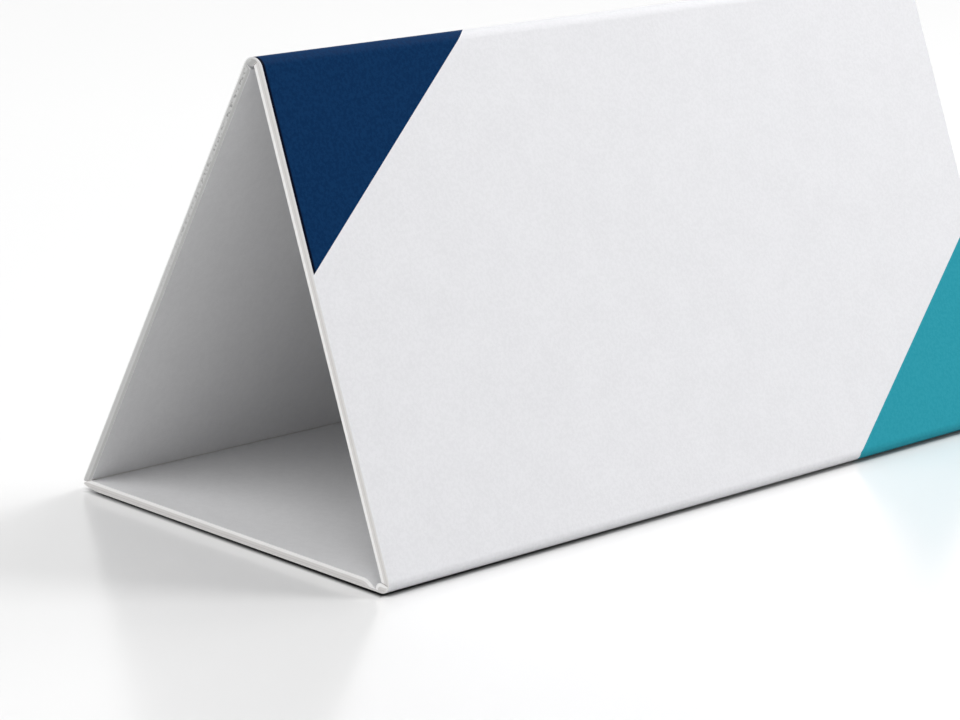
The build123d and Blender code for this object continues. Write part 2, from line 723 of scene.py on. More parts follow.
class NodeSheet:
    """The node tree of one material, or of the world.

    Attributes:
        MIX_COLOURS: Numbers of a Mix node's two colour inputs.
        MIXED_COLOUR: Number of its colour output.
    """

    MIX_COLOURS = (6, 7)
    MIXED_COLOUR = 2

    def __init__(self, owner: Union[bpy.types.Material, bpy.types.World]) -> None:
        """Clears the nodes of a material or of the world.

        Args:
            owner: The material, or the world.
        """
        owner.use_nodes = True
        self.tree = owner.node_tree
        self.tree.nodes.clear()

    def place(self, kind: str, settings: dict, sockets: dict) -> bpy.types.Node:
        """Puts down a node.

        Args:
            kind: The node's type.
            settings: Its settings, which come first; a ramp's are its stops.
            sockets: Values or links of its inputs, by name or number.

        Returns:
            The new node.
        """
        node = self.tree.nodes.new(kind)
        for name, setting in settings.items():
            if name == "stops":
                self._set_stops(node.color_ramp.elements, setting)
            else:
                setattr(node, name, setting)
        for name, given in sockets.items():
            if isinstance(given, Value):
                self.tree.links.new(given.socket, node.inputs[name])
            else:
                node.inputs[name].default_value = given
        return node

    @staticmethod
    def _set_stops(elements: bpy.types.ColorRampElements, stops: list[tuple[float, Colour]]) -> None:
        """Gives a ramp its stops.

        Args:
            elements: The ramp's own list of stops.
            stops: The position and the colour of each.
        """
        while len(elements) < len(stops):
            elements.new(1.0)
        for element, (position, colour) in zip(elements, stops):
            element.position = position
            element.color = colour

    def add(self, kind: str, settings: dict, sockets: dict, output: Union[str, int] = 0) -> Value:
        """Puts down a node as place does, and gives one of its outputs."""
        node = self.place(kind, settings, sockets)
        return Value(self, node.outputs[output])

    def math(self, operation: str, first: Operand, second: Operand) -> Value:
        """Works out one operation on two numbers."""
        return self.add("ShaderNodeMath", {"operation": operation}, {0: first, 1: second})

    def board_place(self) -> Value:
        """Where a point lies in the card's frame, in millimetres."""
        place = self.add("ShaderNodeTexCoord", {}, {}, "Object")
        return self.add("ShaderNodeVectorMath", {"operation": "SCALE"}, {0: place, "Scale": 1 / MM})

    def along(self, place: Value, axis: str) -> Value:
        """How far a place lies along one axis."""
        return self.add("ShaderNodeSeparateXYZ", {}, {0: place}, axis)

    def noise(self, place: Value, size: float, detail: float = 0.0) -> Value:
        """Soft uneven spots, from about 0 to 1.

        Args:
            place: Where the point lies, in millimetres.
            size: How far apart the spots lie.
            detail: How many finer layers are added.

        Returns:
            The strength at the point.
        """
        sockets = {"Vector": place, "Scale": 1 / size, "Detail": detail}
        return self.add("ShaderNodeTexNoise", {}, sockets, "Fac")

    def step(self, value: Value, low: float, high: float) -> Value:
        """A soft step: 0 below low, 1 above high."""
        sockets = {"Value": value, "From Min": low, "From Max": high}
        return self.add("ShaderNodeMapRange", {"interpolation_type": "SMOOTHSTEP"}, sockets)

    def blend(self, share: Operand, first: Union[Value, Colour], second: Union[Value, Colour]) -> Value:
        """Mixes two colours: all of the first at 0, all of the second at 1."""
        sockets = {"Factor": share, **dict(zip(self.MIX_COLOURS, (first, second)))}
        return self.add("ShaderNodeMix", {"data_type": "RGBA"}, sockets, self.MIXED_COLOUR)

    def bump(self, relief: Value) -> Value:
        """Turns a relief in millimetres into a surface direction."""
        return self.add("ShaderNodeBump", {}, {"Height": relief, "Strength": 1.0, "Distance": MM})

    def surface(self, sockets: dict) -> None:
        """Ends the sheet of a material with its surface, whose sockets are given."""
        shader = self.add("ShaderNodeBsdfPrincipled", {}, sockets)
        self.place("ShaderNodeOutputMaterial", {}, {"Surface": shader})


@dataclass(frozen=True)
class PressedGrain:
    """The fine relief that is pressed into the board's covering sheet.

    Attributes:
        pebble: Distance between its soft pebbles.
        pebble_height: Height of the pebbles.
        fibre: Distance between the finer marks on them.
        fibre_height: Height of those marks.
        pebble_detail: Finer layers on the pebbles.
        pit_and_top: Shares of the full height at which a pit ends and a top begins.
    """

    pebble: float = 0.75
    pebble_height: float = 0.028
    fibre: float = 0.28
    fibre_height: float = 0.012
    pebble_detail: float = 1.0
    pit_and_top: tuple[float, float] = (0.38, 0.62)

    def relief(self, sheet: NodeSheet, place: Value) -> Value:
        """Works out the relief.

        Args:
            sheet: The material's nodes.
            place: Where the point lies, in millimetres.

        Returns:
            The height at the point, in millimetres.
        """
        pebbles = sheet.noise(place, self.pebble, self.pebble_detail)
        fibres = sheet.noise(place, self.fibre)
        return pebbles * self.pebble_height + fibres * self.fibre_height

    def tops(self, sheet: NodeSheet, relief: Value) -> Value:
        """Where the tops of the relief lie: 1 on a top, 0 in a pit."""
        full = self.pebble_height + self.fibre_height
        return sheet.step(relief, *[full * share for share in self.pit_and_top])


@dataclass(frozen=True)
class CoatedPaper:
    """White covering sheet, a little mottled and matt.

    Attributes:
        name: Name of the material.
        light: Colour of the palest spots.
        shade: Colour of the darkest spots.
        patch: Distance between broad paler patches.
        grain: Relief of the sheet; its pits are painted darker than its tops, as painted shade.
        patchiness: Share of the patches in the colour; the rest is the painted shade in the grain's pits.
        roughness: How matt the sheet is, from its smoothest to its roughest spots.
        gloss: Strength of its shine.
        patch_detail: Finer layers on the patches.
        patch_range: Strengths between which a patch comes in.
    """

    name: str
    light: Colour
    shade: Colour
    patch: float
    grain: PressedGrain
    patchiness: float = 0.35
    roughness: tuple[float, float] = (0.55, 0.7)
    gloss: float = 0.3
    patch_detail: float = 3.0
    patch_range: tuple[float, float] = (0.3, 0.7)

    def material(self) -> bpy.types.Material:
        """Makes the finish.

        Returns:
            The new material.
        """
        material = bpy.data.materials.new(self.name)
        sheet = NodeSheet(material)
        place = sheet.board_place()
        smooth, rough = self.roughness
        mottle = sheet.step(sheet.noise(place, self.patch, self.patch_detail), *self.patch_range)
        relief = self.grain.relief(sheet, place)
        # random paler patches, mixed with painted shade that darkens the relief's pits
        mottle_and_pit_shade = mottle * self.patchiness + self.grain.tops(sheet, relief) * (1 - self.patchiness)
        sockets = {
            "Base Color": sheet.blend(mottle_and_pit_shade, self.shade, self.light),
            "Roughness": smooth + mottle * (rough - smooth),
            "Specular IOR Level": self.gloss,
            "Normal": sheet.bump(relief),
        }
        sheet.surface(sockets)
        return material


@dataclass(frozen=True)
class PrintInk:
    """Solid ink on the covering sheet, lighter on the pebbles (partly thin ink, partly a painted highlight),
    with a painted shade along a bare trimmed edge.

    Attributes:
        name: Name of the material.
        ink: Colour of the ink.
        thin: Colour on the relief's tops, where the ink lies thin, lightened further as a painted highlight.
        edge: Colour of the painted shade along the trimmed edge.
        painted_shade_width: Width of that painted shade.
        painted_shade_fade: How far the painted shade fades into the field.
        bare: Colour of the sheet where the trimming broke the ink off.
        bare_width: Width of that strip.
        half_length: Half the card's length.
        grain: Relief of the sheet.
        roughness: How matt the print is.
        thin_roughness: How much more matt it is where the ink lies thin.
        gloss: Strength of its shine.
    """

    name: str
    ink: Colour
    thin: Colour
    edge: Colour
    painted_shade_width: float
    painted_shade_fade: float
    bare: Colour
    bare_width: float
    half_length: float
    grain: PressedGrain
    roughness: float = 0.5
    thin_roughness: float = 0.1
    gloss: float = 0.02

    def material(self) -> bpy.types.Material:
        """Makes the finish.

        Returns:
            The new material.
        """
        material = bpy.data.materials.new(self.name)
        sheet = NodeSheet(material)
        place = sheet.board_place()
        relief = self.grain.relief(sheet, place)
        # lighter on the relief's tops: partly thin ink, partly a painted highlight
        thin_ink_and_highlight = self.grain.tops(sheet, relief)
        from_middle = abs(sheet.along(place, "X"))
        bare_start = self.half_length - self.bare_width
        # painted shade: a dark line along the trimmed edge, inside the bare strip
        line_start = bare_start - self.painted_shade_width
        in_painted_shade = sheet.step(from_middle, line_start - self.painted_shade_fade, line_start)
        past_ink = sheet.math("GREATER_THAN", from_middle, bare_start)
        printed = sheet.blend(thin_ink_and_highlight, self.ink, self.thin)
        lined = sheet.blend(in_painted_shade, printed, self.edge)
        sockets = {
            "Base Color": sheet.blend(past_ink, lined, self.bare),
            "Roughness": self.roughness + thin_ink_and_highlight * self.thin_roughness,
            "Specular IOR Level": self.gloss,
            "Normal": sheet.bump(relief),
        }
        sheet.surface(sockets)
        return material


@dataclass(frozen=True)
class CutBoard:
    """The board's trimmed edge: covering sheet, core with a faint ply line, and lining sheet.

    Its turns and lines are shares of the board's thickness, from the outer face at 0 to the inner face at 1.

    Attributes:
        name: Name of the material.
        cover: Colour of the covering sheet's edge.
        core: Colour of the core.
        ply: Colour of the line between its plies.
        lining: Colour of the lining sheet's edge.
        board: Thickness of the board.
        depth_layer: Name of the mesh layer that holds the depth under the outer face.
        flecking: How strongly dark flecks show in the core.
        fleck: Colour of the flecks.
        fleck_gap: Distance between the flecks.
        fleck_detail: Finer layers on the flecks.
        fleck_range: Strengths between which a fleck comes in.
        fleck_heights: Heights over the table between which the flecks come in, up towards the ridge.
        fleck_start: Where the flecks come in behind the covering sheet.
        fleck_end: Where they stop before the lining sheet.
        cover_turn: Where the covering sheet turns into the core.
        ply_line: Start, middle and end of the ply line.
        lining_turn: Where the core turns into the lining sheet.
        waver_gap: Distance between the bends of the ply line.
        waver_depth: How far it bends.
        fibre_gap: Distance between the torn fibres.
        fibre_detail: Finer layers on the fibres and on the bends.
        fibre_range: Strengths between which a fibre comes in.
        fibre_tone: How strongly the fibres show.
        fibre_height: Height of the fibres.
        roughness: How matt the edge is.
        fibre_roughness: How far the fibres change that.
        gloss: Strength of its shine.
    """

    name: str
    cover: Colour
    core: Colour
    ply: Colour
    lining: Colour
    board: float
    depth_layer: str
    flecking: float = 0.0
    fleck: Colour = paint(112, 112, 110)
    fleck_gap: float = 0.7
    fleck_detail: float = 1.0
    fleck_range: tuple[float, float] = (0.46, 0.66)
    fleck_heights: tuple[float, float] = (30.0, 85.0)
    fleck_start: tuple[float, float] = (0.15, 0.35)
    fleck_end: tuple[float, float] = (0.5, 0.7)
    cover_turn: tuple[float, float] = (0.05, 0.15)
    ply_line: tuple[float, float, float] = (0.28, 0.34, 0.40)
    lining_turn: tuple[float, float] = (0.60, 0.72)
    waver_gap: float = 2.5
    waver_depth: float = 0.12
    fibre_gap: float = 0.35
    fibre_detail: float = 2.0
    fibre_range: tuple[float, float] = (0.55, 0.8)
    fibre_tone: float = 0.25
    fibre_height: float = 0.03
    roughness: float = 0.85
    fibre_roughness: float = 0.1
    gloss: float = 0.2

    def material(self) -> bpy.types.Material:
        """Makes the finish.

        Returns:
            The new material.
        """
        material = bpy.data.materials.new(self.name)
        sheet = NodeSheet(material)
        place = sheet.board_place()
        depth = sheet.add("ShaderNodeAttribute", {"attribute_name": self.depth_layer}, {}, "Fac")
        waver = sheet.noise(place, self.waver_gap, self.fibre_detail) - NOISE_MIDDLE
        fibres = sheet.noise(place, self.fibre_gap, self.fibre_detail)
        share = (depth + waver * self.waver_depth) * (1 / self.board)
        plies = sheet.add("ShaderNodeValToRGB", {"stops": self._plies()}, {"Fac": share})
        fibrous = sheet.blend(sheet.step(fibres, *self.fibre_range) * self.fibre_tone, plies, self.ply)
        in_core = sheet.step(share, *self.fleck_start) - sheet.step(share, *self.fleck_end)
        near_ridge = sheet.step(sheet.along(place, "Z"), *self.fleck_heights)
        spots = sheet.step(sheet.noise(place, self.fleck_gap, self.fleck_detail), *self.fleck_range)
        flecks = spots * in_core * near_ridge
        sockets = {
            "Base Color": sheet.blend(flecks * self.flecking, fibrous, self.fleck),
            "Roughness": self.roughness + (fibres - NOISE_MIDDLE) * self.fibre_roughness,
            "Specular IOR Level": self.gloss,
            "Normal": sheet.bump(fibres * self.fibre_height),
        }
        sheet.surface(sockets)
        return material

    def _plies(self) -> list[tuple[float, Colour]]:
        """Lays out the plies as stops of a ramp.

        Returns:
            The stops across the board, from its outer to its inner face.
        """
        cover_end, core_start = self.cover_turn
        line_start, line_middle, line_end = self.ply_line
        core_end, lining_start = self.lining_turn
        return [
            (cover_end, self.cover),
            (core_start, self.core),
            (line_start, self.core),
            (line_middle, self.ply),
            (line_end, self.core),
            (core_end, self.core),
            (lining_start, self.lining),
        ]


@dataclass
class FoldedBoard:
    """The card's only piece: the folded and glued board, with its print and its trimmed ends.

    Attributes:
        length: Length of the card along the ridge.
        section: Section across the ridge.
        prints: Printed fields of the front panel.
        trim_radius: Rounding of the trimmed ends' edges.
        trim_steps: Faces across that rounding.
        glue_end_inset: How far the glue line stays back from the card's ends.
        print_wrap: How far the print wraps over the ridge, as the backward lean of the surface there.
        print_turn: How far a field's side slants on round the front fold before it runs straight across it.
        weld: How near to a point of the outline a print's side still meets it.
        smooth_angle: Edges that turn by more than this stay sharp, in degrees.
        depth_layer: Name of the mesh layer that holds the depth under the outer face.
        name: Name of the piece.
    """

    length: float
    section: BoardSection
    prints: tuple[PrintField, ...]
    trim_radius: float = 0.05
    trim_steps: int = 3
    glue_end_inset: float = 0.25
    print_wrap: float = 0.45
    print_turn: float = 0.85
    weld: float = 0.001
    smooth_angle: float = 40.0
    depth_layer: str = "ply_depth"
    name: str = "card_board"

    def build(self, finishes: dict[Dress, bpy.types.Material]) -> bpy.types.Object:
        """Builds the board's mesh and dresses it.

        Args:
            finishes: The material of each finish.

        Returns:
            The new object.
        """
        outline = self.section.outline()
        shift = outline.centre_on_floor()
        mesh_data = bmesh.new()
        maker = BoardMesh(self, outline, shift, mesh_data)
        maker.add_walls()
        maker.add_glue()
        for end in CardEnd:
            maker.add_trimmed_end(end)
        maker.split_prints()
        maker.mark_sharp_edges()
        mesh = bpy.data.meshes.new(self.name)
        mesh_data.to_mesh(mesh)
        mesh_data.free()
        for dress in Dress:
            mesh.materials.append(finishes[dress])
        board = bpy.data.objects.new(self.name, mesh)
        bpy.context.scene.collection.objects.link(board)
        normals = board.modifiers.new("flat panels", "WEIGHTED_NORMAL")
        normals.keep_sharp = True
        return board


class BoardMesh:
    """Makes the mesh of a folded board from its outline."""

    def __init__(self, board: FoldedBoard, outline: Outline, shift: Vector, mesh: bmesh.types.BMesh) -> None:
        """Lays out the rings of points along the card.

        Args:
            board: The board's sizes.
            outline: Its outline, centred on the floor.
            shift: How far the outline was moved for that.
            mesh: The mesh to fill.
        """
        self.board = board
        self.outline = outline
        self.shift = shift
        self.mesh = mesh
        self.strip_layer = mesh.faces.layers.int.new("strip")
        self.depth_layer = mesh.loops.layers.float.new(board.depth_layer)
        self.rings = [self._ring(x, inset) for x, inset in self._stations()]

    @property
    def glue_ring(self) -> int:
        """Place of the ring at which the glue line begins; it ends at the next one."""
        return len(self.rings) // 2 - 1

    def _stations(self) -> list[tuple[float, float]]:
        """Lays out the places along X at which the outline is set.

        Returns:
            Each place, with the outline's inset there.
        """
        half = self.board.length / 2
        radius = self.board.trim_radius
        turns = [math.pi / 2 * i / self.board.trim_steps for i in range(self.board.trim_steps + 1)]
        near = [(radius * (1 - math.cos(turn)) - half, radius * (1 - math.sin(turn))) for turn in turns]
        near.append((self.board.glue_end_inset - half, 0.0))
        return near + [(-x, inset) for x, inset in reversed(near)]

    def _vertex(self, x: float, point: Vector) -> bmesh.types.BMVert:
        """Adds a point of the section at a place along X, both in millimetres."""
        return self.mesh.verts.new((x * MM, point.x * MM, point.y * MM))

    def _ring(self, x: float, inset: float) -> Ring:
        """Adds the outline at a place along X."""
        points = self.outline.inset(inset) if inset else self.outline.points
        return [self._vertex(x, point) for point in points]

    def _face(self, corners: Ring, surface: Surface, strip: int = -1) -> bmesh.types.BMFace:
        """Adds a face of the given surface.

        Args:
            corners: Its corners.
            surface: What it is on the board.
            strip: The outline's stretch that it lies on, or -1 if it lies on none.

        Returns:
            The new face.
        """
        dresses = {Surface.INSIDE: Dress.INNER_FACE, Surface.CUT: Dress.CUT_EDGE}
        face = self.mesh.faces.new(corners)
        face.smooth = True
        face[self.strip_layer] = strip
        face.material_index = dresses.get(surface, Dress.WHITE_FACE).value
        for loop in face.loops:
            loop[self.depth_layer] = self.board.section.board / 2
        return face

    def add_walls(self) -> None:
        """Adds the faces that run along the card, except where the glue joins the seam's sides."""
        count = len(self.outline.points)
        glued = (self.outline.marks[Mark.GLUE_LOW], self.outline.marks[Mark.GLUE_HIGH])
        for i, (first, second) in enumerate(zip(self.rings, self.rings[1:])):
            for j in range(count):
                if i == self.glue_ring and j in glued:
                    continue
                after = (j + 1) % count
                corners = [first[j], first[after], second[after], second[j]]
                self._face(corners, self.outline.surfaces[j], j)

    def add_glue(self) -> None:
        """Adds the sides of the glue line, which joins the base to the back panel's foot."""
        low = self.outline.marks[Mark.GLUE_LOW]
        high = self.outline.marks[Mark.GLUE_HIGH]
        glued_rings = self.rings[self.glue_ring : self.glue_ring + 2]
        near, far = [[ring[low], ring[low + 1], ring[high], ring[high + 1]] for ring in glued_rings]
        self._face([near[0], near[3], far[3], far[0]], Surface.CUT)
        self._face([near[2], near[1], far[1], far[2]], Surface.CUT)
        self._face(near, Surface.CUT)
        self._face(list(reversed(far)), Surface.CUT)

    def add_trimmed_end(self, end: CardEnd) -> None:
        """Closes one end of the card: the uncut skin as a band, and the three panels' cores inside it.

        Args:
            end: Which end is closed.
        """
        ring = self.rings[0] if end is CardEnd.NEAR else self.rings[-1]
        skin = self._add_skin(ring, end)
        self._add_cores(ring, skin, end)

    def _add_skin(self, ring: Ring, end: CardEnd) -> Ring:
        """Adds the outer skin to a trimmed end, as a band from the back panel's foot to the base's tip.

        Args:
            ring: The outline at that end.
            end: The end of the card.

        Returns:
            The points along the band's inner side.
        """
        marks = self.outline.marks
        foot, tip = marks[Mark.FOOT], marks[Mark.TIP]
        depth = self.board.section.skin
        slit_ends = {
            marks[Mark.RIDGE_BEAD_SKIN]: ring[marks[Mark.RIDGE_BEAD_SLIT]],
            marks[Mark.RIDGE_PANEL_SKIN]: ring[marks[Mark.RIDGE_PANEL_SLIT]],
            marks[Mark.FRONT_PANEL_SKIN]: ring[marks[Mark.FRONT_PANEL_SLIT]],
            marks[Mark.FRONT_BEAD_SKIN]: ring[marks[Mark.FRONT_BEAD_SLIT]],
        }
        inner_line = self.outline.inset(depth)
        x = end.value * self.board.length / 2
        skin = [slit_ends.get(i) or self._vertex(x, inner_line[i]) for i in range(foot, tip + 1)]
        for i in range(foot, tip):
            band = self._end_face([ring[i], ring[i + 1], skin[i + 1], skin[i]], end)
            for loop in band.loops:
                loop[self.depth_layer] = 0.0 if loop.vert in ring else depth
            # the back panel's skin at the trimmed ends is greyer, as painted shade
            if i < marks[Mark.RIDGE_BEAD_SKIN]:
                band.material_index = Dress.PAINTED_SHADE_FLECKED_EDGE.value
        return skin

    def _add_cores(self, ring: Ring, skin: Ring, end: CardEnd) -> None:
        """Adds the cores of the three panels to a trimmed end, those with a crease in two parts.

        Args:
            ring: The outline at that end.
            skin: The points along the inner side of the outer skin.
            end: The end of the card.
        """
        marks = self.outline.marks
        section = self.board.section
        front_bead, front_panel = marks[Mark.FRONT_BEAD_SKIN], marks[Mark.FRONT_PANEL_SKIN]
        ridge_bead, ridge_panel = marks[Mark.RIDGE_BEAD_SKIN], marks[Mark.RIDGE_PANEL_SKIN]
        base_start, base_top = marks[Mark.FRONT_CREASE_SKIN], marks[Mark.FRONT_CREASE_TOP]
        back_end, back_top = marks[Mark.RIDGE_CREASE_SKIN], marks[Mark.RIDGE_CREASE_TOP]
        base_core = skin[base_start:] + ring[marks[Mark.TIP] : base_top + 1]
        base_crease = skin[front_bead : base_start + 1] + ring[base_top : marks[Mark.FRONT_BEAD_SLIT]]
        front_core = skin[ridge_panel : front_panel + 1]
        front_core += ring[marks[Mark.FRONT_PANEL_SLIT] + 1 : marks[Mark.RIDGE_PANEL_SLIT]]
        back_core = skin[: back_end + 1] + ring[back_top:] + ring[:1]
        back_crease = skin[back_end : ridge_bead + 1] + ring[marks[Mark.RIDGE_BEAD_SLIT] + 1 : back_top + 1]
        lined = self._lined(ring)
        for core in (base_core, base_crease):
            self._add_core(core, section.front_corner, lined, end)
        self._add_core(front_core, section.front_panel, lined, end)
        # the back panel's cores get the greyer finish, a painted shade with dark flecks
        for core in (back_core, back_crease):
            self._add_core(core, section.ridge_corner, lined, end, Dress.PAINTED_SHADE_FLECKED_EDGE)

    def _lined(self, ring: Ring) -> set[bmesh.types.BMVert]:
        """The points of a ring that lie on the lining sheet, which follows the creases."""
        sides = self.outline.surfaces
        return {ring[i] for i in range(len(ring)) if Surface.INSIDE in (sides[i - 1], sides[i])}

    def _end_face(self, corners: Ring, end: CardEnd) -> bmesh.types.BMFace:
        """Adds a face of a trimmed end, turned outwards."""
        turned = corners if end is CardEnd.FAR else list(reversed(corners))
        return self._face(turned, Surface.CUT)

    def _add_core(
        self,
        corners: Ring,
        panel: Corner,
        lined: set[bmesh.types.BMVert],
        end: CardEnd,
        dress: Dress = Dress.CUT_EDGE,
    ) -> None:
        """Adds the core of one panel to a trimmed end, with its depth under the panel's outer face.

        Args:
            corners: The core's outline.
            panel: The corner that the panel is measured from.
            lined: The points that lie on the lining sheet.
            end: The end of the card.
            dress: The core's finish.
        """
        core = self._end_face(corners, end)
        core.material_index = dress.value
        board = self.board.section.board
        for loop in core.loops:
            place = Vector((loop.vert.co.y, loop.vert.co.z)) / MM - self.shift
            loop[self.depth_layer] = board if loop.vert in lined else min(panel.depth(place), board)
        core.normal_update()
        bmesh.ops.triangulate(self.mesh, faces=[core])

    def split_prints(self) -> None:
        """Cuts and dresses the printed side, strip by strip, so that each field goes on round the folds."""
        strips = [j for j, surface in enumerate(self.outline.surfaces) if surface is Surface.FRONT]
        slants = self._slants(strips)
        for print_field in self.board.prints:
            for strip in strips:
                self._print_strip(print_field, strip, slants)

    def _slants(self, strips: list[int]) -> dict[int, float]:
        """Measures down the sheet from the sharp ridge to a little way round the front fold.

        Args:
            strips: The stretches of the printed side, in order.

        Returns:
            The distance of each point, by its place in the outline; past that it stays the same.
        """
        section = self.board.section
        points = self.outline.points
        lengths = [(points[j + 1] - points[j]).length for j in strips]
        runs = [sum(lengths[:i]) for i in range(len(strips) + 1)]
        panel = lengths.index(max(lengths))
        last_run = runs[panel + 1] + self.board.print_turn
        panel_start = section.ridge_corner.reach(section.ridge_crease.radius)
        return {strips[0] + i: panel_start + min(run, last_run) - runs[panel] for i, run in enumerate(runs)}

    def _print_strip(self, print_field: PrintField, strip: int, slants: dict[int, float]) -> None:
        """Cuts one strip of the printed side along a field's slanting side and dresses the field's faces.

        Args:
            print_field: The printed field.
            strip: The strip's place in the outline.
            slants: Distances down the sheet.
        """
        half = self.board.length / 2
        end = print_field.end.value
        first, last = self.outline.points[strip : strip + 2]
        down = (last - first).normalized()
        outward = Vector((0, down.y, -down.x))
        if outward.y > self.board.print_wrap:
            return
        stops = [half - print_field.reach(slants[j]) for j in (strip, strip + 1)]
        near, far = [Vector((end * x, point.x, point.y)) for x, point in zip(stops, (first, last))]
        faces = self._strip_faces(strip)
        edges = {edge for face in faces for edge in face.edges}
        verts = {vert for face in faces for vert in face.verts}
        bmesh.ops.bisect_plane(
            self.mesh,
            geom=[*verts, *edges, *faces],
            dist=self.board.weld * MM,
            plane_co=near * MM,
            plane_no=(far - near).cross(outward),
        )
        for face in self._strip_faces(strip):
            centre = face.calc_center_median() / MM
            share = (Vector((centre.y, centre.z)) - first).dot(down) / (last - first).length
            slant = slants[strip] * (1 - share) + slants[strip + 1] * share
            if half - end * centre.x < print_field.reach(slant):
                face.material_index = print_field.dress.value

    def _strip_faces(self, strip: int) -> list[bmesh.types.BMFace]:
        """The faces that lie on one stretch of the outline."""
        return [face for face in self.mesh.faces if face[self.strip_layer] == strip]

    def mark_sharp_edges(self) -> None:
        """Keeps the edges sharp that turn by more than the smooth angle, and drops the strips' numbers."""
        limit = math.radians(self.board.smooth_angle)
        for edge in self.mesh.edges:
            edge.smooth = edge.calc_face_angle(0.0) < limit
        self.mesh.faces.layers.int.remove(self.strip_layer)


@dataclass(frozen=True)
class PhotoCamera:
    """The camera, as found from the card's straight edges in the picture.

    Attributes:
        eye: Where it stands, in millimetres.
        yaw: Its heading, from +X towards +Y, in degrees.
        pitch: How far it looks down, in degrees.
        roll: How far it is turned counter-clockwise about its own axis, in degrees.
        focal_px: Focal length in pixels.
        width_px: Width of the picture in pixels.
        sensor: Width of its sensor.
    """

    eye: tuple[float, float, float] = (-605.41, -503.66, 229.09)
    yaw: float = 41.39
    pitch: float = 14.95
    roll: float = 3.64
    focal_px: float = 3762.0
    width_px: float = 960.0
    sensor: float = 36.0

    def build(self) -> None:
        """Adds the camera and makes it the scene's own."""
        yaw, pitch = math.radians(self.yaw), math.radians(self.pitch)
        level = math.cos(pitch)
        forward = Vector((math.cos(yaw) * level, math.sin(yaw) * level, -math.sin(pitch)))
        right = Vector((math.sin(yaw), -math.cos(yaw), 0))
        up = right.cross(forward)
        turned = Matrix((right, up, -forward)).transposed().to_4x4()
        data = bpy.data.cameras.new("photo_camera")
        data.sensor_width = self.sensor
        data.lens = self.focal_px / self.width_px * self.sensor
        camera = bpy.data.objects.new("photo_camera", data)
        rolled = turned @ Matrix.Rotation(math.radians(self.roll), 4, "Z")
        camera.matrix_world = Matrix.Translation(Vector(self.eye) * MM) @ rolled
        bpy.context.scene.collection.objects.link(camera)
        bpy.context.scene.camera = camera


@dataclass(frozen=True)
class Lamp:
    """A soft round lamp, turned to the near end of the card's ridge.

    Attributes:
        name: Name of the lamp.
        strength: Share of light that it adds there to a white face turned to it.
        heading: Its direction from there, from -Y towards +X, in degrees.
        height: Its height over the horizon, in degrees.
        width: How wide it looks from there, in degrees.
        distance: How far away it hangs, or nothing for so far that its light falls the same way everywhere.
        aim: The near end of the ridge.
    """

    name: str
    strength: float
    heading: float
    height: float
    width: float
    distance: Optional[float] = None
    aim: tuple[float, float, float] = (-105.0, 0.0, 96.0)

    def build(self) -> None:
        """Hangs the lamp."""
        heading, height = math.radians(self.heading), math.radians(self.height)
        level = math.cos(height)
        towards = Vector((math.sin(heading) * level, -math.cos(heading) * level, math.sin(height)))
        light = self._far_light() if self.distance is None else self._near_light()
        lamp = bpy.data.objects.new(self.name, light)
        lamp.rotation_mode = "QUATERNION"
        lamp.rotation_quaternion = towards.to_track_quat("Z", "Y")
        lamp.location = (Vector(self.aim) + towards * (self.distance or 0.0)) * MM
        bpy.context.scene.collection.objects.link(lamp)

    def _far_light(self) -> bpy.types.Light:
        """Makes the light of a lamp that hangs far away.

        Returns:
            The light.
        """
        light = bpy.data.lights.new(self.name, "SUN")
        light.angle = math.radians(self.width)
        light.energy = self.strength * math.pi
        return light

    def _near_light(self) -> bpy.types.Light:
        """Makes the light of a lamp that hangs near, so that what is next to it is brighter.

        Returns:
            The light.
        """
        light = bpy.data.lights.new(self.name, "AREA")
        light.shape = "DISK"
        light.size = 2 * self.distance * MM * math.tan(math.radians(self.width / 2))
        light.energy = self.strength * (math.pi * self.distance * MM) ** 2
        return light


